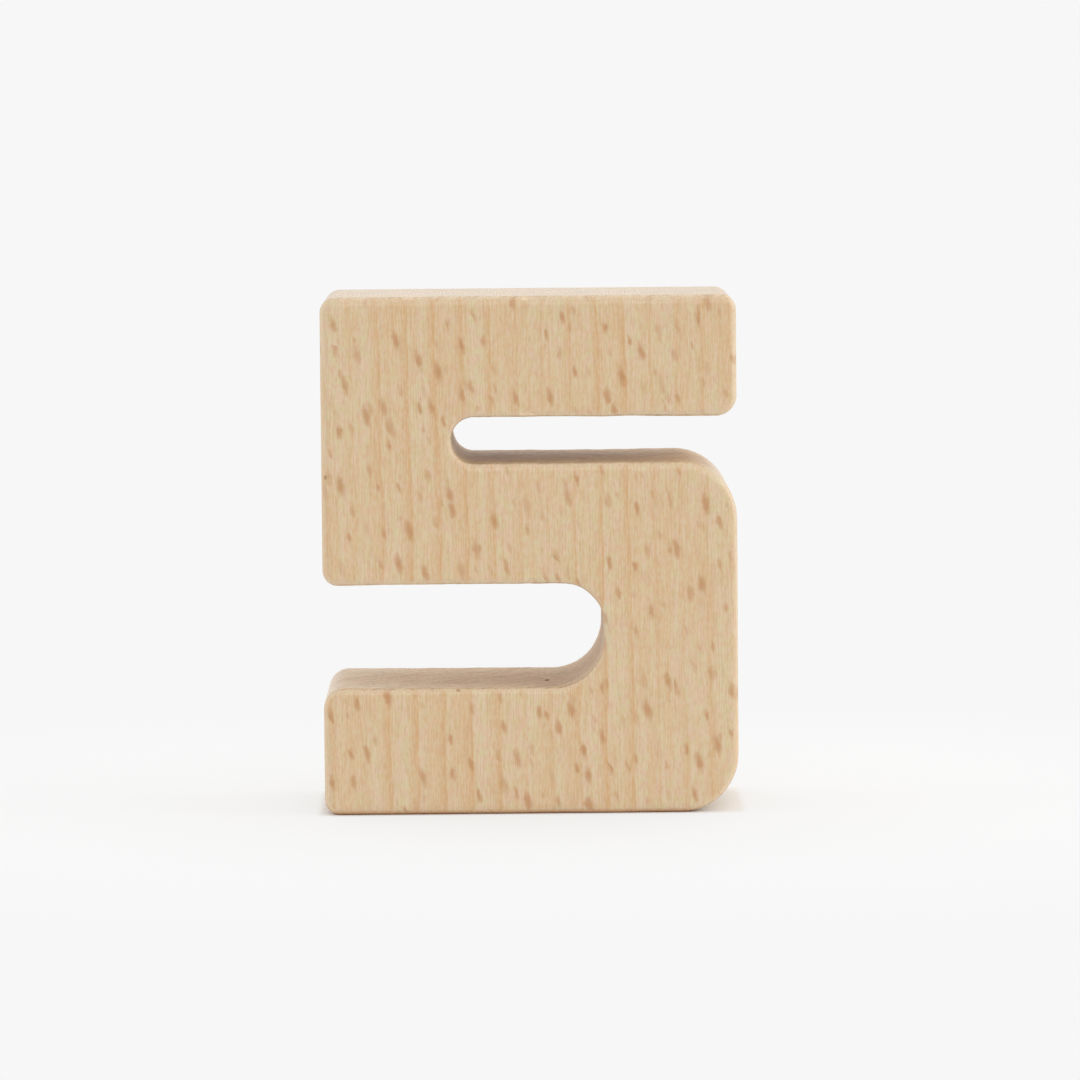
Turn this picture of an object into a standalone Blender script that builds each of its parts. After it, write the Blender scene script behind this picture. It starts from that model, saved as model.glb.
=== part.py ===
"""A toy number block: the figure five, cut from one piece of solid beech.

The block stands on its flat foot with its face towards -Y. The origin is on the floor,
under the middle of the block. +X is to the reader's right and +Z is up.
"""

import math

import bmesh
import bpy
from mathutils import Vector

MM = 0.001

# The strokes and gaps of the figure, from the floor up. Together they make its height.
FOOT_BAR_HEIGHT = 12.3 * MM
LOWER_SLOT_HEIGHT = 9.9 * MM
MIDDLE_BAR_HEIGHT = 11.8 * MM
UPPER_SLOT_HEIGHT = 4.3 * MM
TOP_BAR_HEIGHT = 11.7 * MM

# The width of the figure, and what each slot leaves of it at its blind end.
BLOCK_WIDTH = 40.0 * MM
UPPER_STEM_WIDTH = 12.6 * MM
LOWER_STEM_WIDTH = 13.0 * MM

# The board that the figure is cut from.
BOARD_THICKNESS = 20.0 * MM

# Rounding of the outline, and of the rims where the outline meets the two faces.
CORNER_RADIUS = 1.5 * MM
BAR_TIP_RADIUS = 2.0 * MM
BOWL_RADIUS = 5.6 * MM
SLOT_ROOF_RADIUS = 3.9 * MM
SLOT_FLOOR_RADIUS = 4.8 * MM
EASED_EDGE = 0.6 * MM

# Smoothness of the round stretches.
STEPS_PER_CORNER = 8
STEPS_PER_EASED_EDGE = 4

# Length of a Bezier handle, as a share of the radius, that makes a quarter circle.
QUARTER_CIRCLE_HANDLE = 4 / 3 * (math.sqrt(2) - 1)

WELD_DISTANCE = 0.001 * MM
FLAT_ANGLE = math.radians(0.5)
RIM_ANGLE = math.radians(60)

# Waxed beech, as linear colour.
BEECH_COLOUR = (0.665, 0.485, 0.305, 1.0)
BEECH_ROUGHNESS = 0.55


def clear_scene():
    for obj in list(bpy.data.objects):
        bpy.data.objects.remove(obj)


def beech():
    material = bpy.data.materials.new("solid_beech")
    material.use_nodes = True
    shader = material.node_tree.nodes["Principled BSDF"]
    shader.inputs["Base Color"].default_value = BEECH_COLOUR
    shader.inputs["Roughness"].default_value = BEECH_ROUGHNESS
    shader.inputs["Metallic"].default_value = 0.0
    return material


def figure_corners():
    """The corners of the figure, each with its radius, anticlockwise from the foot's left end."""
    left = -BLOCK_WIDTH / 2
    right = BLOCK_WIDTH / 2
    upper_slot_end = left + UPPER_STEM_WIDTH
    lower_slot_end = right - LOWER_STEM_WIDTH

    foot_top = FOOT_BAR_HEIGHT
    waist = foot_top + LOWER_SLOT_HEIGHT
    shoulder = waist + MIDDLE_BAR_HEIGHT
    top_bar_underside = shoulder + UPPER_SLOT_HEIGHT
    top = top_bar_underside + TOP_BAR_HEIGHT

    # The upper slot ends in a half circle. The lower one has a short flat between its corners,
    # and its roof and its floor are never rounded by more than half of its height.
    upper_slot_radius = UPPER_SLOT_HEIGHT / 2
    slot_roof_radius = min(SLOT_ROOF_RADIUS, LOWER_SLOT_HEIGHT / 2)
    slot_floor_radius = min(SLOT_FLOOR_RADIUS, LOWER_SLOT_HEIGHT / 2)

    return [
        (Vector((left, 0)), CORNER_RADIUS),
        (Vector((right, 0)), BOWL_RADIUS),
        (Vector((right, shoulder)), BOWL_RADIUS),
        (Vector((upper_slot_end, shoulder)), upper_slot_radius),
        (Vector((upper_slot_end, top_bar_underside)), upper_slot_radius),
        (Vector((right, top_bar_underside)), BAR_TIP_RADIUS),
        (Vector((right, top)), CORNER_RADIUS),
        (Vector((left, top)), CORNER_RADIUS),
        (Vector((left, waist)), CORNER_RADIUS),
        (Vector((lower_slot_end, waist)), slot_roof_radius),
        (Vector((lower_slot_end, foot_top)), slot_floor_radius),
        (Vector((left, foot_top)), BAR_TIP_RADIUS),
    ]


def round_corner(points, before, corner, after, radius):
    """Sets the two Bezier points at the ends of one corner's quarter circle."""
    towards = ((before - corner).normalized(), (after - corner).normalized())
    start, end = points
    for point, direction in zip(points, towards):
        point.co = (corner + radius * direction).to_3d()

    handle = radius * (1 - QUARTER_CIRCLE_HANDLE)
    start.handle_left_type = "VECTOR"
    start.handle_right_type = "FREE"
    start.handle_right = (corner + handle * towards[0]).to_3d()
    end.handle_left_type = "FREE"
    end.handle_left = (corner + handle * towards[1]).to_3d()
    end.handle_right_type = "VECTOR"


def figure_outline():
    """The figure as a flat curve in its own XY plane, as thick as the board."""
    corners = figure_corners()
    curve = bpy.data.curves.new("figure_outline", "CURVE")
    curve.dimensions = "2D"
    curve.fill_mode = "BOTH"
    curve.extrude = BOARD_THICKNESS / 2
    curve.resolution_u = STEPS_PER_CORNER

    spline = curve.splines.new("BEZIER")
    spline.bezier_points.add(2 * len(corners) - 1)
    spline.use_cyclic_u = True
    for index, (corner, radius) in enumerate(corners):
        before = corners[index - 1][0]
        after = corners[(index + 1) % len(corners)][0]
        points = spline.bezier_points[2 * index : 2 * index + 2]
        round_corner(points, before, corner, after, radius)
    return bpy.data.objects.new("figure_outline", curve)


def sawn_mesh(outline):
    """The outline as one closed mesh, with its two faces whole and its copies of points welded."""
    graph = bpy.context.evaluated_depsgraph_get()
    mesh = bpy.data.meshes.new_from_object(outline.evaluated_get(graph))
    shape = bmesh.new()
    shape.from_mesh(mesh)
    bmesh.ops.remove_doubles(shape, verts=shape.verts, dist=WELD_DISTANCE)
    bmesh.ops.dissolve_limit(shape, angle_limit=FLAT_ANGLE, verts=shape.verts, edges=shape.edges)
    bmesh.ops.recalc_face_normals(shape, faces=shape.faces)
    shape.to_mesh(mesh)
    shape.free()
    mesh.shade_smooth()
    mesh.set_sharp_from_angle(angle=RIM_ANGLE)
    return mesh


def ease_edges(block):
    """Rounds the rims of both faces, all along the outline."""
    bevel = block.modifiers.new("eased_edges", "BEVEL")
    bevel.width = EASED_EDGE
    bevel.segments = STEPS_PER_EASED_EDGE
    bevel.limit_method = "ANGLE"
    bevel.angle_limit = RIM_ANGLE
    bevel.use_clamp_overlap = False
    bevel.loop_slide = False


def figure_block(collection):
    """The figure, stood upright with its face towards -Y."""
    outline = figure_outline()
    collection.objects.link(outline)
    outline.rotation_euler = (math.pi / 2, 0, 0)
    bpy.context.view_layer.update()

    block = bpy.data.objects.new("figure_five_block", sawn_mesh(outline))
    collection.objects.link(block)
    block.matrix_world = outline.matrix_world
    bpy.data.objects.remove(outline)
    block.data.materials.append(beech())
    ease_edges(block)
    return block


def main():
    clear_scene()
    collection = bpy.data.collections.new("number_block")
    bpy.context.scene.collection.children.link(collection)
    figure_block(collection)


main()
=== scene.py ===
"""The looks of a toy number block: the figure five in waxed solid beech, under soft studio light."""

import math
from collections import namedtuple

import bmesh
import bpy
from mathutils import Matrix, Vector


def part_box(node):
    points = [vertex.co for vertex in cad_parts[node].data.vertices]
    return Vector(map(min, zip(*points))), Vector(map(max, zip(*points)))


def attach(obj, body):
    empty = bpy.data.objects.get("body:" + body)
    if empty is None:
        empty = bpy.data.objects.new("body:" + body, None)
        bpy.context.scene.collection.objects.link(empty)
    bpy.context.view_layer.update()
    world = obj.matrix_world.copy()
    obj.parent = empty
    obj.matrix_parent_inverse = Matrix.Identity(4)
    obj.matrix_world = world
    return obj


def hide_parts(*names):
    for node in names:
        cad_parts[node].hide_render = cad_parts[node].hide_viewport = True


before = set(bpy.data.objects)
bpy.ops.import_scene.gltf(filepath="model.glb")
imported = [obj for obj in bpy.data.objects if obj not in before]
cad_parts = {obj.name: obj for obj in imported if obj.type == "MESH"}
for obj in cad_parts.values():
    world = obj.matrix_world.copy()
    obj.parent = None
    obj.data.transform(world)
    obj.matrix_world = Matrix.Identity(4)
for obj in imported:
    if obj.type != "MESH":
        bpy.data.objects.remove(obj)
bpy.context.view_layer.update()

MM = 0.001

# The block as the frame has it: its foot on the floor, its face towards -Y.
LOW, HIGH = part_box("figure_five_block")
LEFT, FRONT, FLOOR = LOW
RIGHT, BACK, TOP = HIGH

# The strokes and slots of the figure, from the floor up. The top bar takes what is left.
FOOT_BAR_HEIGHT = 12.3 * MM
LOWER_SLOT_HEIGHT = 9.9 * MM
MIDDLE_BAR_HEIGHT = 11.8 * MM
UPPER_SLOT_HEIGHT = 4.3 * MM
FOOT_TOP = FLOOR + FOOT_BAR_HEIGHT
WAIST = FOOT_TOP + LOWER_SLOT_HEIGHT
SHOULDER = WAIST + MIDDLE_BAR_HEIGHT
TOP_BAR_UNDERSIDE = SHOULDER + UPPER_SLOT_HEIGHT

# Where the saw stopped: the blind ends of the two slots.
UPPER_SLOT_END = LEFT + 12.6 * MM
LOWER_SLOT_END = RIGHT - 13.0 * MM

# Rounding of the outline, and of the rims where it meets the two faces. Sanding then wears the rims on.
CORNER_RADIUS = 1.5 * MM
BAR_TIP_RADIUS = 2.0 * MM
BOWL_RADIUS = 5.6 * MM
SLOT_ROOF_RADIUS = 3.9 * MM
SLOT_FLOOR_RADIUS = 4.8 * MM
UPPER_SLOT_RADIUS = UPPER_SLOT_HEIGHT / 2
EASED_RIM = 0.5 * MM
CORNER_STEPS = 12
RIM_STEPS = 6

# Points nearer than this are the same point.
SAME_PLACE = 0.005 * MM

# The even net of cuts that gives the sanding something to shape.
SANDING_STEP = 0.5 * MM

# How deep the sanding paper took the faces and the rims, how deep the saw marked the slots, and how long
# the strokes of each were.
FACE_SANDING = 0.03 * MM
RIM_SANDING = 0.12 * MM
SAW_MARKS = 0.15 * MM
SANDING_STROKE = 5.0 * MM
SAW_STROKE = 2.0 * MM

# How squarely a surface looks to the front or the back, from 0 to 1: a rim lies between the first two, and
# a slot's wall stays below the third.
LEAST_RIM = 0.1
MOST_RIM = 0.98
MOST_WALL = 0.5

# Saw marks fade out over this length at the mouth of a slot, where the paper reached in.
SLOT_MOUTH = 4.0 * MM


def mm(*lengths):
    return tuple(length * MM for length in lengths)


# Small nicks: the middle of each, its width, depth and height, its turn about X in degrees, and the colour
# that shows in it. Torn fibres are pale, and the pits are painted dark as painted shade.
Nick = namedtuple("Nick", "middle size turn colour")
NICKS = {
    "splinter": Nick(
        (-0.44 * MM, FRONT - 0.06 * MM, TOP_BAR_UNDERSIDE + 0.44 * MM), mm(0.85, 0.6, 0.46), 25, "#F0D9BA"
    ),
    "second_splinter": Nick(
        (0.42 * MM, FRONT - 0.03 * MM, TOP_BAR_UNDERSIDE + 0.36 * MM), mm(0.7, 0.5, 0.4), 25, "#EBD3B2"
    ),
    "top_edge_nick": Nick((-0.25 * MM, FRONT, TOP - 0.2 * MM), mm(0.8, 0.5, 0.4), 15, "#EBD3B2"),
    "ledge_edge_pit": Nick(
        (-7.02 * MM, FRONT + 0.07 * MM, FOOT_TOP - 0.22 * MM), mm(0.45, 0.4, 0.34), -45, "#BE9770"
    ),
    "side_dent": Nick(
        (LEFT + 0.4 * MM, FRONT + 0.02 * MM, WAIST + 10.52 * MM), mm(0.22, 0.3, 0.4), 0, "#BE9A72"
    ),
    "ledge_pit": Nick((1.59 * MM, -2.63 * MM, FOOT_TOP - 0.1 * MM), mm(0.45, 1.4, 0.4), 0, "#80603F"),
}


def linear(hex_colour):
    """An sRGB colour such as "#D8BB97" as linear red, green, blue and alpha."""
    values = [int(hex_colour[i : i + 2], 16) / 255 for i in (1, 3, 5)]
    return [v / 12.92 if v <= 0.04045 else ((v + 0.055) / 1.055) ** 2.4 for v in values] + [1.0]


def near(a, b):
    return abs(a - b) < SAME_PLACE


def select(mode, test):
    """In edit mode, selects just the faces or edges that pass the test."""
    bpy.ops.mesh.select_all(action="DESELECT")
    bpy.ops.mesh.select_mode(type=mode)
    mesh = bpy.context.object.data
    shape = bmesh.from_edit_mesh(mesh)
    for item in shape.faces if mode == "FACE" else shape.edges:
        if test(item):
            item.select_set(True)
    shape.select_flush_mode()
    bmesh.update_edit_mesh(mesh)


def push_face(facing, place, shift):
    """Extrudes the face that looks that way and lies around that (x, z) place."""
    x, z = place

    def holds(face):
        xs = [v.co.x for v in face.verts]
        zs = [v.co.z for v in face.verts]
        spans_x = min(xs) - SAME_PLACE < x < max(xs) + SAME_PLACE
        spans_z = min(zs) - SAME_PLACE < z < max(zs) + SAME_PLACE
        return spans_x and spans_z and face.normal.dot(Vector(facing)) > 0.99

    select("FACE", holds)
    bpy.ops.mesh.extrude_region_move(TRANSFORM_OT_translate={"value": shift})


def cut_across(place, direction):
    bpy.ops.mesh.select_all(action="SELECT")
    bpy.ops.mesh.bisect(plane_co=place, plane_no=direction)


def saw_out_figure():
    """The figure with square corners: the foot bar first, then each stroke pushed out of the last."""
    bpy.ops.object.select_all(action="DESELECT")
    foot_middle = ((LEFT + RIGHT) / 2, (FRONT + BACK) / 2, (FLOOR + FOOT_TOP) / 2)
    foot_size = (RIGHT - LEFT, BACK - FRONT, FOOT_TOP - FLOOR)
    bpy.ops.mesh.primitive_cube_add(size=1, location=foot_middle, scale=foot_size)
    block = bpy.context.object
    block.name = block.data.name = "beech_figure_five"
    bpy.ops.object.transform_apply(location=True, rotation=True, scale=True)

    up, left, right = (0, 0, 1), (-1, 0, 0), (1, 0, 0)
    stem_x = (LOWER_SLOT_END + RIGHT) / 2
    neck_x = (LEFT + UPPER_SLOT_END) / 2
    middle_z = (WAIST + SHOULDER) / 2
    top_z = (TOP_BAR_UNDERSIDE + TOP) / 2

    bpy.ops.object.mode_set(mode="EDIT")
    cut_across((LOWER_SLOT_END, 0, 0), right)
    push_face(up, (stem_x, FOOT_TOP), (0, 0, LOWER_SLOT_HEIGHT))
    push_face(up, (stem_x, WAIST), (0, 0, MIDDLE_BAR_HEIGHT))
    push_face(left, (LOWER_SLOT_END, middle_z), (UPPER_SLOT_END - LOWER_SLOT_END, 0, 0))
    push_face(left, (UPPER_SLOT_END, middle_z), (LEFT - UPPER_SLOT_END, 0, 0))
    push_face(up, (neck_x, SHOULDER), (0, 0, UPPER_SLOT_HEIGHT))
    push_face(up, (neck_x, TOP_BAR_UNDERSIDE), (0, 0, TOP - TOP_BAR_UNDERSIDE))
    push_face(right, (UPPER_SLOT_END, top_z), (RIGHT - UPPER_SLOT_END, 0, 0))

    bpy.ops.mesh.select_all(action="SELECT")
    bpy.ops.mesh.dissolve_limited(angle_limit=math.radians(1))
    bpy.ops.object.mode_set(mode="OBJECT")
    return block


def round_corners():
    """Rounds the outline: small radii on the bar ends, large ones on the bowl and in the slots."""
    rounds = {
        CORNER_RADIUS: [(LEFT, FLOOR), (LEFT, WAIST), (LEFT, TOP), (RIGHT, TOP)],
        BAR_TIP_RADIUS: [(LEFT, FOOT_TOP), (RIGHT, TOP_BAR_UNDERSIDE)],
        BOWL_RADIUS: [(RIGHT, FLOOR), (RIGHT, SHOULDER)],
        SLOT_ROOF_RADIUS: [(LOWER_SLOT_END, WAIST)],
        SLOT_FLOOR_RADIUS: [(LOWER_SLOT_END, FOOT_TOP)],
        UPPER_SLOT_RADIUS - SAME_PLACE: [
            (UPPER_SLOT_END, SHOULDER), (UPPER_SLOT_END, TOP_BAR_UNDERSIDE),
        ],
    }
    for radius, corners in rounds.items():
        def runs_back_from_corner(edge):
            return any(all(near(v.co.x, x) and near(v.co.z, z) for v in edge.verts) for x, z in corners)

        select("EDGE", runs_back_from_corner)
        bpy.ops.mesh.bevel(offset=radius, segments=CORNER_STEPS, profile=0.5, clamp_overlap=False)
    bpy.ops.mesh.select_all(action="SELECT")
    bpy.ops.mesh.remove_doubles(threshold=2 * SAME_PLACE)


def ease_rims():
    """Takes the sharpness off the two rims, all round the outline."""
    def lies_in_a_face(edge):
        return any(all(near(v.co.y, y) for v in edge.verts) for y in (FRONT, BACK))

    select("EDGE", lies_in_a_face)
    bpy.ops.mesh.bevel(offset=EASED_RIM, segments=RIM_STEPS, profile=0.5, clamp_overlap=False)


def lay_sanding_net():
    """Cuts the surface along even planes, so that long flat stretches have points to move."""
    for axis, (start, end) in enumerate(zip(LOW, HIGH)):
        direction = [0, 0, 0]
        direction[axis] = 1
        cuts = round((end - start) / SANDING_STEP)
        for index in range(1, cuts):
            place = [0, 0, 0]
            place[axis] = start + (end - start) * index / cuts
            cut_across(place, direction)


def depth_in_slot(x, z):
    """How far into one of the two slots a point of their walls lies, past the rounding of its mouth."""
    if FOOT_TOP - SAME_PLACE < z < WAIST + SAME_PLACE and x < LOWER_SLOT_END + SAME_PLACE:
        return x - LEFT - BAR_TIP_RADIUS
    if SHOULDER - SAME_PLACE < z < TOP_BAR_UNDERSIDE + SAME_PLACE and x > UPPER_SLOT_END - SAME_PLACE:
        return RIGHT - BOWL_RADIUS - x
    return 0.0


def sand_by_hand(block):
    """Wears the surface inwards: a little on the faces, more along the rims, most in the sawn slots."""
    rims = block.vertex_groups.new(name="rims")
    slots = block.vertex_groups.new(name="slots")
    for vertex in block.data.vertices:
        towards_a_face = abs(vertex.normal.y)
        if LEAST_RIM < towards_a_face < MOST_RIM:
            rims.add([vertex.index], 1.0, "REPLACE")
        inside = depth_in_slot(vertex.co.x, vertex.co.z)
        if inside > 0.0 and towards_a_face < MOST_WALL:
            slots.add([vertex.index], min(1.0, inside / SLOT_MOUTH), "REPLACE")

    work = (
        ("face_sanding", FACE_SANDING, SANDING_STROKE, ""),
        ("rim_sanding", RIM_SANDING, SANDING_STROKE, "rims"),
        ("saw_marks", SAW_MARKS, SAW_STROKE, "slots"),
    )
    for name, depth, stroke, group in work:
        wear = bpy.data.textures.new(name, "CLOUDS")
        wear.noise_scale = stroke
        wear.noise_depth = 2
        sanding = block.modifiers.new(name, "DISPLACE")
        sanding.texture = wear
        sanding.texture_coords = "LOCAL"
        sanding.mid_level = 0.0
        sanding.strength = -depth
        sanding.vertex_group = group
        bpy.ops.object.modifier_apply(modifier=name)


def nick_gouges():
    """One rounded gouge for each nick, joined as one object."""
    bpy.ops.object.select_all(action="DESELECT")
    gouges = []
    for nick in NICKS.values():
        turned = (math.radians(nick.turn), 0, 0)
        bpy.ops.mesh.primitive_ico_sphere_add(
            subdivisions=2, radius=0.5, location=nick.middle, rotation=turned, scale=nick.size
        )
        gouges.append(bpy.context.object)

    meshes = [gouge.data for gouge in gouges]
    for gouge in gouges:
        gouge.select_set(True)
    bpy.context.view_layer.objects.active = gouges[0]
    bpy.ops.object.join()
    bpy.ops.object.transform_apply(location=True, rotation=True, scale=True)
    for mesh in meshes[1:]:
        bpy.data.meshes.remove(mesh)
    return bpy.context.object


def nick_edges(block):
    """Takes the small nicks out of the block, then clears what the cutting left with no area."""
    gouges = nick_gouges()
    bpy.ops.object.select_all(action="DESELECT")
    block.select_set(True)
    bpy.context.view_layer.objects.active = block
    cutting = block.modifiers.new("nicks", "BOOLEAN")
    cutting.operation = "DIFFERENCE"
    cutting.solver = "EXACT"
    cutting.object = gouges
    bpy.ops.object.modifier_apply(modifier="nicks")
    bpy.data.meshes.remove(gouges.data)

    bpy.ops.object.mode_set(mode="EDIT")
    bpy.ops.mesh.select_all(action="SELECT")
    bpy.ops.mesh.dissolve_degenerate(threshold=SAME_PLACE / 20)
    bpy.ops.object.mode_set(mode="OBJECT")


def number_block():
    """The figure as a maker goes at it: sawn, rounded, eased, sanded, and then nicked in use."""
    block = saw_out_figure()
    bpy.ops.object.mode_set(mode="EDIT")
    round_corners()
    ease_rims()
    lay_sanding_net()
    bpy.ops.object.mode_set(mode="OBJECT")
    bpy.ops.object.shade_smooth()
    sand_by_hand(block)
    nick_edges(block)
    return block


def add(tree, kind, inputs=(), **settings):
    """Adds a node with its settings, links or sets its inputs, and gives back its outputs."""
    node = tree.nodes.new("ShaderNode" + kind)
    for name, value in settings.items():
        setattr(node, name, value)
    for socket, value in dict(inputs).items():
        if isinstance(value, bpy.types.NodeSocket):
            tree.links.new(value, node.inputs[socket])
        else:
            node.inputs[socket].default_value = value
    return node.outputs


# The board is beech sawn between the quarter and the flat, so its rings cross both faces at a slant. All
# sizes of its figure are in millimetres: how far off the middle of the log was, how the years lean and
# wander, and how far the fibres slope.
RIFT_ANGLE = math.radians(45)
PITH_DISTANCE = 300.0
RING_SPACING = 1.89
RING_LEAN = math.radians(1.0)
RING_WANDER = 0.3
WANDER_LENGTH = 9.0
GRAIN_SLOPE = math.radians(8)

# A year's wood deepens by this power up to winter, and the palest year has this share of the darkest.
DEEPENING = 5.0
WINTER = 0.92
PALEST_YEAR = 0.35

# Rays are thin upright plates that run out from the middle of the log: first how they are spaced outwards,
# along the years and along the grain, then how large they are the same three ways, and how ragged.
RAY_SPACING = (12.0, 1.35, 4.2)
RAY_SIZE = (26.0, 0.58, 2.1)
RAY_RAGGEDNESS = (0.0, 0.3, 0.9)
RAGGED_LENGTH = 0.625

# A ray is this much of its size, from the slimmest to the fullest. It is darkest up to its core and gone
# at its edge.
SLIMMEST_RAY = 0.6
FULLEST_RAY = 1.2
RAY_CORE = 0.25
RAY_EDGE = 1.2

# Large rays and small ones: their share of that size and spacing, their shift in the board and their
# rarity, from 0 to 1. Rays fade in over a range of rarities.
LARGE_RAYS = (1.0, (0, 0, 0), 0.15)
SMALL_RAYS = (0.68, (7.3, 2.9, 5.1), 0.6)
RARITY_FADE = 0.3

# Finer figure, sized outwards, along the years and along the grain. Real pores of beech are 0.05 to 0.08 mm
# across and its fibres finer still, so both are drawn three to eight times as coarse, which lets them show.
FIBRES = (0.16, 0.16, 2.4)
PORES = (0.2, 0.2, 0.5)
MOTTLE = (0.8, 0.8, 0.9)
STREAKS = (1.2, 1.2, 18.0)
END_RAY_LINES = (3.5, 0.3, 9.0)
END_PORES = (0.4545, 0.4545, 0.4545)

# How strongly each of them shows, from 0 to 1. End grain is laid on more than whole, so its marks are crisp.
STREAK_STRENGTH = 0.7
FIBRE_STRENGTH = 0.52
PORE_STRENGTH = 0.4
LARGE_RAY_STRENGTH = 0.72
SMALL_RAY_STRENGTH = 0.45
END_GRAIN_STRENGTH = 1.2
RIM_WEAR_AND_HIGHLIGHT_STRENGTH = 0.3
FOOT_CONTACT_SHADE_STRENGTH = 0.7
NICK_STRENGTH = 0.8

EARLYWOOD = linear("#D1BF97")
LATEWOOD = linear("#CA9860")
RAY_FLECK = linear("#B68151")
PALE_FIBRE = linear("#DBC8A9")
DARK_FIBRE = linear("#BE9F78")
PALE_PORE = linear("#D8C8AE")
DARK_PORE = linear("#CA9D6F")
PINK_MOTTLE = linear("#D6BA9C")
ORANGE_STREAK = linear("#D2B188")
END_GRAIN = linear("#9C7B52")
# The rims' pale tint: partly wear from handling, partly a painted highlight.
PALE_RIM_WEAR_AND_HIGHLIGHT = linear("#DCCBB2")
# Painted contact shade along the bottom of the foot.
FOOT_CONTACT_SHADE = linear("#B4763C")
# Painted shade, laid over the wood deeper in the slots.
SLOT_SHADE = linear("#FCF6EC")

# The noise at which each of two tints starts and is full.
PINK_RANGE = (0.4, 0.6)
ORANGE_RANGE = (0.35, 0.65)

# How squarely a surface looks up or down where end grain starts and is full, and how squarely it looks to
# the front or the back where the pale rim, partly worn and partly painted highlight, starts and is full,
# from the faces and from the sides.
END_GRAIN_RANGE = (0.5, 0.9)
RIM_FROM_FACES = (0.99, 0.85)
RIM_FROM_SIDES = (0.1, 0.5)

# The tint of a nick is full up to the first of these, in halves of its size, and gone at the second.
NICK_RANGE = (0.9, 1.3)

# Painted contact shade darkens the foot in full up to the first height and not at all above the second, in
# millimetres.
CONTACT_SHADE_RANGE = (0.1, 0.5)

# The paper reached the open faces well and the slots less, so the slots stay rougher. A point is in a slot
# as far as walls within this reach hide its surroundings, and the wood there is darkened as painted shade.
SLOT_REACH = 16 * MM
OPEN_PLACE = 0.88
SLOT_DEPTHS = 0.52
SANDED_ROUGHNESS = 0.27
SAWN_ROUGHNESS = 0.5

# Sanding leaves the fibres standing a little above each other, with unlike shine.
FIBRE_RELIEF = 0.008 * MM
FIBRE_DULLNESS = 0.05


def growth_rings(tree, place):
    """Darkness of the latewood: it deepens outwards through each year and ends sharply."""
    leaning = add(tree, "Mapping", {"Vector": place, "Rotation": (0, RING_LEAN, 0)})[0]
    wander = add(tree, "TexNoise", {"Vector": leaning, "Scale": 1 / WANDER_LENGTH, "Detail": 1.0})["Color"]
    wander = add(tree, "VectorMath", {0: wander, 1: (0.5, 0.5, 0.5)}, operation="SUBTRACT")[0]
    wander = add(tree, "VectorMath", {0: wander, "Scale": 2 * RING_WANDER}, operation="SCALE")[0]
    bent = add(tree, "VectorMath", {0: leaning, 1: wander}, operation="ADD")[0]
    flat = add(tree, "VectorMath", {0: bent, 1: (1, 1, 0)}, operation="MULTIPLY")[0]
    pith = (-PITH_DISTANCE * math.cos(RIFT_ANGLE), -PITH_DISTANCE * math.sin(RIFT_ANGLE), 0)
    radius = add(tree, "VectorMath", {0: flat, 1: pith}, operation="DISTANCE")["Value"]
    years = add(tree, "Math", {0: radius, 1: RING_SPACING}, operation="DIVIDE")[0]
    year = add(tree, "Math", {0: years}, operation="FLOOR")[0]
    season = add(tree, "Math", {0: years}, operation="FRACT")[0]

    # Winter fades out again, so that the ring's edge isn't jagged.
    deepening = add(tree, "Math", {0: season, 1: DEEPENING}, operation="POWER")[0]
    winter = {0: season, 1: WINTER, 2: 1.0, 3: 1.0, 4: 0.0}
    winter = add(tree, "MapRange", winter, interpolation_type="SMOOTHSTEP")[0]
    latewood = add(tree, "Math", {0: deepening, 1: winter}, operation="MULTIPLY")[0]

    # Some years grew darker wood than others.
    chance = add(tree, "TexWhiteNoise", {"W": year}, noise_dimensions="1D")["Value"]
    strength = add(tree, "MapRange", {0: chance, 3: PALEST_YEAR, 4: 1.0})[0]
    return add(tree, "Math", {0: latewood, 1: strength}, operation="MULTIPLY")[0]


def ray_flecks(tree, grain, size, shift, rarity):
    """Rays cut through: slim spindles on long grain, lines on end grain. A larger rarity leaves fewer."""
    ragged = add(tree, "TexNoise", {"Vector": grain, "Scale": 1 / RAGGED_LENGTH, "Detail": 2.0})["Color"]
    ragged = add(tree, "VectorMath", {0: ragged, 1: (0.5, 0.5, 0.5)}, operation="SUBTRACT")[0]
    ragged = add(tree, "VectorMath", {0: ragged, 1: RAY_RAGGEDNESS}, operation="MULTIPLY")[0]
    grain = add(tree, "VectorMath", {0: grain, 1: ragged}, operation="ADD")[0]

    # Each ray sits somewhere in a cell of its own, and its spindle is measured from there.
    cell = [size * length for length in RAY_SPACING]
    half = [size * length / 2 for length in RAY_SIZE]
    packed = add(tree, "Mapping", {"Vector": grain, "Location": shift, "Scale": [1 / c for c in cell]})[0]
    nearest = add(tree, "TexVoronoi", {"Vector": packed, "Scale": 1.0}, voronoi_dimensions="3D")
    offset = add(tree, "VectorMath", {0: packed, 1: nearest["Position"]}, operation="SUBTRACT")[0]
    stretch = [c / h for c, h in zip(cell, half)]
    offset = add(tree, "VectorMath", {0: offset, 1: stretch}, operation="MULTIPLY")[0]

    chance = add(tree, "SeparateColor", {0: nearest["Color"]})
    girth = add(tree, "MapRange", {0: chance[1], 3: SLIMMEST_RAY, 4: FULLEST_RAY})[0]
    away = add(tree, "VectorMath", {0: offset}, operation="LENGTH")["Value"]
    away = add(tree, "Math", {0: away, 1: girth}, operation="DIVIDE")[0]
    fleck = {0: away, 1: RAY_CORE, 2: RAY_EDGE, 3: 1.0, 4: 0.0}
    fleck = add(tree, "MapRange", fleck, interpolation_type="SMOOTHSTEP")[0]
    strength = add(tree, "MapRange", {0: chance[0], 1: rarity, 2: rarity + RARITY_FADE})[0]
    return add(tree, "Math", {0: fleck, 1: strength}, operation="MULTIPLY")[0]


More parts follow.
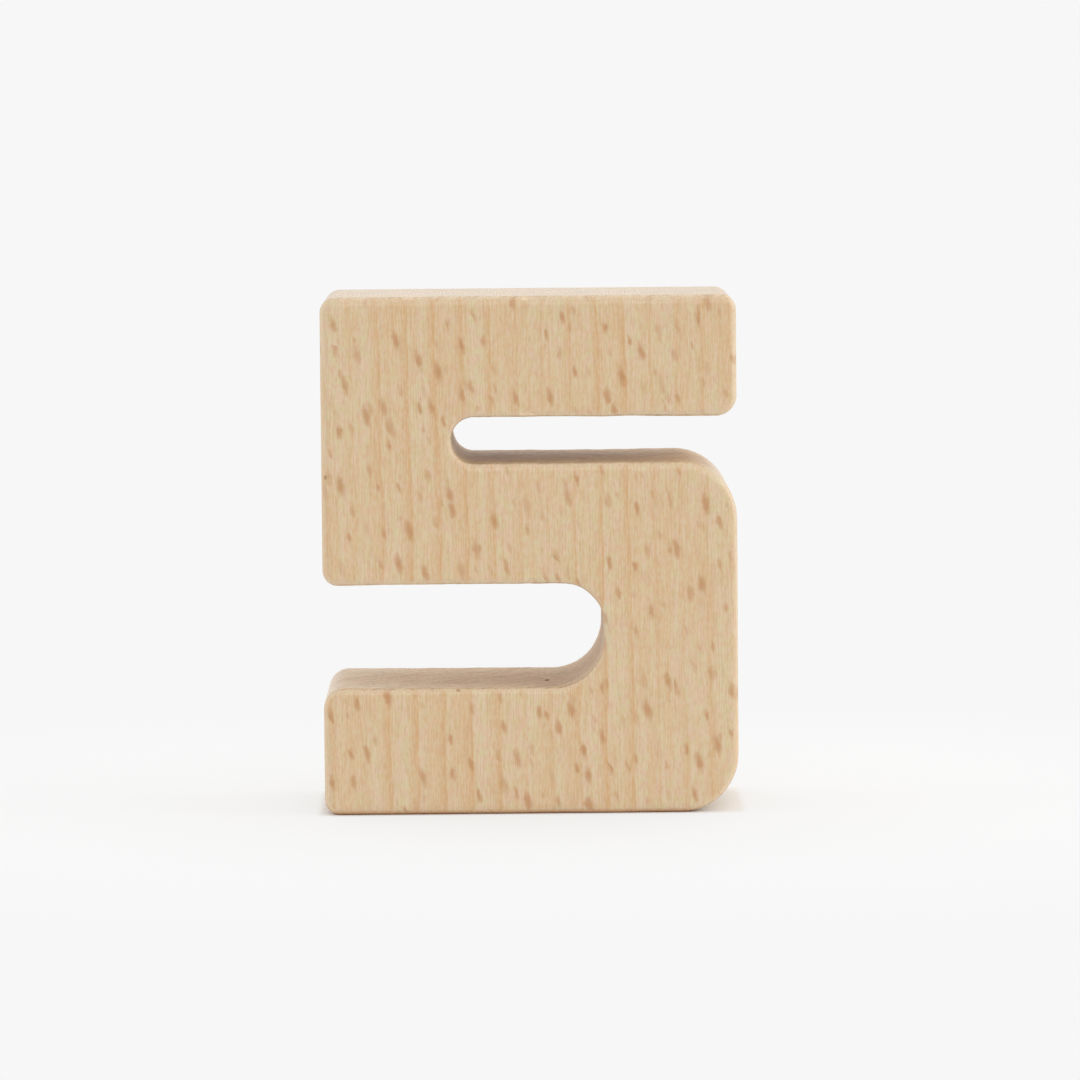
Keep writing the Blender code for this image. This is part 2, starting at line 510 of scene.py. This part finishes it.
def figure_noise(tree, board, sizes, detail, roughness=0.5):
    """Uneven figure of the given sizes in millimetres, outwards, along the years and along the grain."""
    packed = add(tree, "Mapping", {"Vector": board, "Scale": [1 / size for size in sizes]})[0]
    noise = {"Vector": packed, "Scale": 1.0, "Detail": detail, "Roughness": roughness}
    return add(tree, "TexNoise", noise)["Fac"]


def lay_over(tree, colour, tint, where, strength):
    """The colour with a tint laid over it, at most as strongly as said."""
    share = add(tree, "Math", {0: where, 1: strength}, operation="MULTIPLY")[0]
    return add(tree, "Mix", {0: share, 6: colour, 7: tint}, data_type="RGBA")[2]


def speckle(tree, colour, noise, strength, dark, pale):
    """Darkens the colour where the noise is low and lightens it where the noise is high."""
    low = add(tree, "MapRange", {0: noise, 1: 0.5, 2: 0.1})[0]
    colour = lay_over(tree, colour, dark, low, strength)
    high = add(tree, "MapRange", {0: noise, 1: 0.5, 2: 0.9})[0]
    return lay_over(tree, colour, pale, high, strength)


def long_grain(tree, place, board, fibres):
    """Wood as the faces show it: straw and pink, orange streaks, year lines, fibres, pores and rays."""
    mottle = figure_noise(tree, board, MOTTLE, 1.0)
    pink = add(tree, "MapRange", {0: mottle, 1: PINK_RANGE[0], 2: PINK_RANGE[1]})[0]
    colour = lay_over(tree, EARLYWOOD, PINK_MOTTLE, pink, 1.0)
    streaks = figure_noise(tree, board, STREAKS, 1.0)
    orange = add(tree, "MapRange", {0: streaks, 1: ORANGE_RANGE[0], 2: ORANGE_RANGE[1]})[0]
    colour = lay_over(tree, colour, ORANGE_STREAK, orange, STREAK_STRENGTH)
    colour = lay_over(tree, colour, LATEWOOD, growth_rings(tree, place), 1.0)

    colour = speckle(tree, colour, fibres, FIBRE_STRENGTH, DARK_FIBRE, PALE_FIBRE)
    pores = figure_noise(tree, board, PORES, 0.0)
    colour = speckle(tree, colour, pores, PORE_STRENGTH, DARK_PORE, PALE_PORE)

    grain = add(tree, "Mapping", {"Vector": board, "Rotation": (GRAIN_SLOPE, 0, 0)})[0]
    small_rays = ray_flecks(tree, grain, *SMALL_RAYS)
    colour = lay_over(tree, colour, RAY_FLECK, small_rays, SMALL_RAY_STRENGTH)
    large_rays = ray_flecks(tree, grain, *LARGE_RAYS)
    return lay_over(tree, colour, RAY_FLECK, large_rays, LARGE_RAY_STRENGTH)


def mark_nick(tree, colour, place, nick):
    """Tints the wood inside a nick and just around it: pale where fibres tore, dark in pits as painted
    shade.
    """
    middle = [length / MM for length in nick.middle]
    stretch = [2 * MM / length for length in nick.size]
    offset = add(tree, "VectorMath", {0: place, 1: middle}, operation="SUBTRACT")[0]
    offset = add(tree, "VectorMath", {0: offset, 1: stretch}, operation="MULTIPLY")[0]
    away = add(tree, "VectorMath", {0: offset}, operation="LENGTH")["Value"]
    inside = add(tree, "MapRange", {0: away, 1: NICK_RANGE[0], 2: NICK_RANGE[1], 3: 1.0, 4: 0.0})[0]
    return lay_over(tree, colour, linear(nick.colour), inside, NICK_STRENGTH)


def waxed_beech():
    """Solid beech, sawn between quarter and flat, sanded along the grain and rubbed with clear wax.

    It looks a pale straw brown, with soft darker year lines, short orange-brown ray flecks that lean with
    the grain, and a fine upright texture of fibres and pores. End grain, on top and on the ledges, drank
    more wax: it is browner, with thin ray lines and pores. Handling wore the rims pale, and a painted
    highlight lightens them further. The lowest half millimetre of the foot is darkened as painted contact
    shade, the slots are darkened deeper in as painted shade, and the pits of the nicks are painted dark as
    painted shade. The wax leaves a low satin shine, duller in the slots, where the saw's surface stayed.
    """
    material = bpy.data.materials.new("waxed_solid_beech")
    material.use_nodes = True
    tree = material.node_tree
    shader = tree.nodes["Principled BSDF"]
    coordinates = add(tree, "TexCoord")
    place = add(tree, "VectorMath", {0: coordinates["Object"], "Scale": 1 / MM}, operation="SCALE")[0]
    board = add(tree, "Mapping", {"Vector": place, "Rotation": (0, 0, -RIFT_ANGLE)})[0]
    fibres = figure_noise(tree, board, FIBRES, 1.0)
    colour = long_grain(tree, place, board, fibres)

    facing = add(tree, "VectorMath", {0: coordinates["Normal"]}, operation="ABSOLUTE")[0]
    facing = add(tree, "SeparateXYZ", {0: facing})
    end_grain = {0: facing["Z"], 1: END_GRAIN_RANGE[0], 2: END_GRAIN_RANGE[1], 4: END_GRAIN_STRENGTH}
    end_grain = add(tree, "MapRange", end_grain)[0]
    ray_lines = figure_noise(tree, board, END_RAY_LINES, 2.0, roughness=0.6)
    colour = speckle(tree, colour, ray_lines, end_grain, END_GRAIN, PALE_FIBRE)
    end_pores = figure_noise(tree, board, END_PORES, 2.0, roughness=0.65)
    colour = speckle(tree, colour, end_pores, end_grain, END_GRAIN, PALE_FIBRE)

    # The rims are laid paler: partly wear from handling, partly a painted highlight.
    off_faces = add(tree, "MapRange", {0: facing["Y"], 1: RIM_FROM_FACES[0], 2: RIM_FROM_FACES[1]})[0]
    off_sides = add(tree, "MapRange", {0: facing["Y"], 1: RIM_FROM_SIDES[0], 2: RIM_FROM_SIDES[1]})[0]
    rim = add(tree, "Math", {0: off_faces, 1: off_sides}, operation="MULTIPLY")[0]
    colour = lay_over(tree, colour, PALE_RIM_WEAR_AND_HIGHLIGHT, rim, RIM_WEAR_AND_HIGHLIGHT_STRENGTH)
    # Painted contact shade: the foot's lowest rim is darkened where it meets the floor.
    height = add(tree, "SeparateXYZ", {0: place})["Z"]
    contact_shade = add(tree, "MapRange", {0: height, 1: CONTACT_SHADE_RANGE[0], 2: CONTACT_SHADE_RANGE[1], 3: 1.0, 4: 0.0})[0]
    colour = lay_over(tree, colour, FOOT_CONTACT_SHADE, contact_shade, FOOT_CONTACT_SHADE_STRENGTH)
    for nick in NICKS.values():
        colour = mark_nick(tree, colour, place, nick)

    openness = add(tree, "AmbientOcclusion", {"Distance": SLOT_REACH}, only_local=True, samples=8)["AO"]
    sawn_and_shaded = add(tree, "MapRange", {0: openness, 1: OPEN_PLACE, 2: SLOT_DEPTHS})[0]
    # Painted shade: the wood is darkened deeper in the slots, by how hidden each point is.
    shaded_slots = {0: sawn_and_shaded, 6: colour, 7: SLOT_SHADE}
    colour = add(tree, "Mix", shaded_slots, data_type="RGBA", blend_type="MULTIPLY")[2]
    tree.links.new(colour, shader.inputs["Base Color"])

    roughness = add(tree, "MapRange", {0: sawn_and_shaded, 3: SANDED_ROUGHNESS, 4: SAWN_ROUGHNESS})[0]
    uneven = add(tree, "MapRange", {0: fibres, 1: 0.3, 2: 0.7, 3: -FIBRE_DULLNESS, 4: FIBRE_DULLNESS})[0]
    roughness = add(tree, "Math", {0: roughness, 1: uneven}, operation="ADD")[0]
    tree.links.new(roughness, shader.inputs["Roughness"])
    relief = add(tree, "Bump", {"Distance": FIBRE_RELIEF, "Height": fibres})["Normal"]
    tree.links.new(relief, shader.inputs["Normal"])
    return material


# The studio: white paper under the block, and a white tent around it that is brightest at the back wall and
# open where the camera stands. What the camera sees of both is the same near white.
BACKDROP = linear("#F7F7F7")
BACKDROP_STRENGTH = 0.93
PAPER = linear("#F9F9F9")
SEEN_PAPER = linear("#E9E9E9")
PAPER_ROUGHNESS = 0.9
FLOOR_SIZE = 6.0
TENT = 0.9
BACK_WALL = 1.5
OPEN_SIDE = 0.2

# How far backwards a direction points, from -1 to 1, where the tent starts to brighten towards the back
# wall, and where it is open at the front and closed again.
BRIGHTENING = (-0.3, 1.0)
OPENING = (-0.95, -0.6)

# How far from the block the paper starts to glare and glares in full, and what share each of the two adds.
CONTACT_SHADOW = (0.0, 1.0 * MM)
CONTACT_GLARE = 0.68
WIDE_SHADOW = (5 * MM, 90 * MM)
WIDE_GLARE = 0.32

# Each softbox: its place and its width and height in metres, and its power in watts.
SOFTBOXES = {
    "right_softbox": ((0.8, -0.1, 0.35), (0.7, 0.6), 2.7),
    "left_softbox": ((-0.8, -0.1, 0.35), (0.7, 0.6), 0.8),
    "front_softbox": ((0.1, -0.8, 0.35), (0.7, 0.4), 1.7),
}


def seen_directly(tree):
    """1 for rays that show the background itself: to the camera, in a reflection or through glass."""
    path = add(tree, "LightPath")
    seen = add(tree, "Math", {0: path["Is Camera Ray"], 1: path["Is Glossy Ray"]}, operation="MAXIMUM")[0]
    return add(tree, "Math", {0: seen, 1: path["Is Transmission Ray"]}, operation="MAXIMUM")[0]


def studio_floor():
    """A flat sheet of white paper, so bright that little more of it is seen than the block's shadow.

    The paper's glare is the backdrop's near white. It lights the block less than the bare paper would.
    """
    bpy.ops.object.select_all(action="DESELECT")
    bpy.ops.mesh.primitive_plane_add(size=FLOOR_SIZE)
    floor = bpy.context.object
    floor.name = floor.data.name = "studio_floor"
    material = bpy.data.materials.new("white_paper_sweep")
    material.use_nodes = True
    tree = material.node_tree

    paper = tree.nodes["Principled BSDF"]
    paper.inputs["Roughness"].default_value = PAPER_ROUGHNESS
    paper.inputs["Specular IOR Level"].default_value = 0.0
    tone = add(tree, "Mix", {0: seen_directly(tree), 6: PAPER, 7: SEEN_PAPER}, data_type="RGBA")[2]
    tree.links.new(tone, paper.inputs["Base Color"])

    place = add(tree, "TexCoord")["Object"]
    folded = add(tree, "VectorMath", {0: place}, operation="ABSOLUTE")[0]
    beyond = add(tree, "VectorMath", {0: folded, 1: (RIGHT, BACK, 0)}, operation="SUBTRACT")[0]
    beyond = add(tree, "VectorMath", {0: beyond, 1: (0, 0, 0)}, operation="MAXIMUM")[0]
    gap = add(tree, "VectorMath", {0: beyond}, operation="LENGTH")["Value"]
    close_by = {0: gap, 1: CONTACT_SHADOW[0], 2: CONTACT_SHADOW[1], 4: CONTACT_GLARE}
    close_by = add(tree, "MapRange", close_by, interpolation_type="SMOOTHSTEP")[0]
    further_off = {0: gap, 1: WIDE_SHADOW[0], 2: WIDE_SHADOW[1], 4: WIDE_GLARE}
    further_off = add(tree, "MapRange", further_off, interpolation_type="SMOOTHSTEP")[0]
    glaring = add(tree, "Math", {0: close_by, 1: further_off}, operation="ADD")[0]
    glare = add(tree, "Emission", {"Color": BACKDROP, "Strength": 1.0})[0]
    surface = add(tree, "MixShader", {0: glaring, 1: paper.outputs[0], 2: glare})[0]
    tree.links.new(surface, tree.nodes["Material Output"].inputs["Surface"])
    floor.data.materials.append(material)


def white_tent():
    """The tent's walls as the world's light, brighter behind the block and dim behind the camera."""
    world = bpy.data.worlds.new("white_tent")
    bpy.context.scene.world = world
    world.use_nodes = True
    tree = world.node_tree
    background = tree.nodes["Background"]
    backwards = add(tree, "SeparateXYZ", {0: add(tree, "TexCoord")["Generated"]})["Y"]
    walls = {0: backwards, 1: BRIGHTENING[0], 2: BRIGHTENING[1], 3: TENT, 4: BACK_WALL}
    walls = add(tree, "MapRange", walls, interpolation_type="SMOOTHSTEP")[0]
    shown = add(tree, "MapRange", {0: seen_directly(tree), 3: walls, 4: BACKDROP_STRENGTH})[0]
    closed = {0: backwards, 1: OPENING[0], 2: OPENING[1], 3: OPEN_SIDE, 4: 1.0}
    closed = add(tree, "MapRange", closed, interpolation_type="SMOOTHSTEP")[0]
    strength = add(tree, "Math", {0: shown, 1: closed}, operation="MULTIPLY")[0]
    background.inputs["Color"].default_value = (1, 1, 1, 1)
    tree.links.new(strength, background.inputs["Strength"])


def studio_light():
    """The tent, with a strong softbox at the right, a weak one at the left and one in front."""
    white_tent()
    middle = Vector((0, 0, (FLOOR + TOP) / 2))
    for name, (place, size, power) in SOFTBOXES.items():
        lamp = bpy.data.lights.new(name, "AREA")
        lamp.shape = "RECTANGLE"
        lamp.size, lamp.size_y = size
        lamp.energy = power
        holder = bpy.data.objects.new(name, lamp)
        bpy.context.scene.collection.objects.link(holder)
        holder.location = place
        holder.rotation_euler = (middle - Vector(place)).to_track_quat("-Z", "Y").to_euler()


# The camera of the photograph, fitted to the block's edges: its place, its turn in degrees, and its lens
# and the width of its sensor in millimetres.
CAMERA_PLACE = mm(-1.96, -595.0, 74.45)
CAMERA_TURN = (85.316, 0.493, -0.329)
CAMERA_LENS = 203.4
SENSOR_WIDTH = 36.0
NEAREST_SEEN = 10 * MM


def reading_camera():
    camera = bpy.data.objects.new("reading_camera", bpy.data.cameras.new("reading_camera"))
    bpy.context.scene.collection.objects.link(camera)
    camera.data.lens = CAMERA_LENS
    camera.data.sensor_width = SENSOR_WIDTH
    camera.data.clip_start = NEAREST_SEEN
    camera.location = CAMERA_PLACE
    camera.rotation_euler = [math.radians(angle) for angle in CAMERA_TURN]
    bpy.context.scene.camera = camera


block = number_block()
block.data.materials.append(waxed_beech())
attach(block, "root")
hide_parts("figure_five_block")

studio_floor()
studio_light()
reading_camera()
bpy.context.scene.view_settings.view_transform = "Standard"
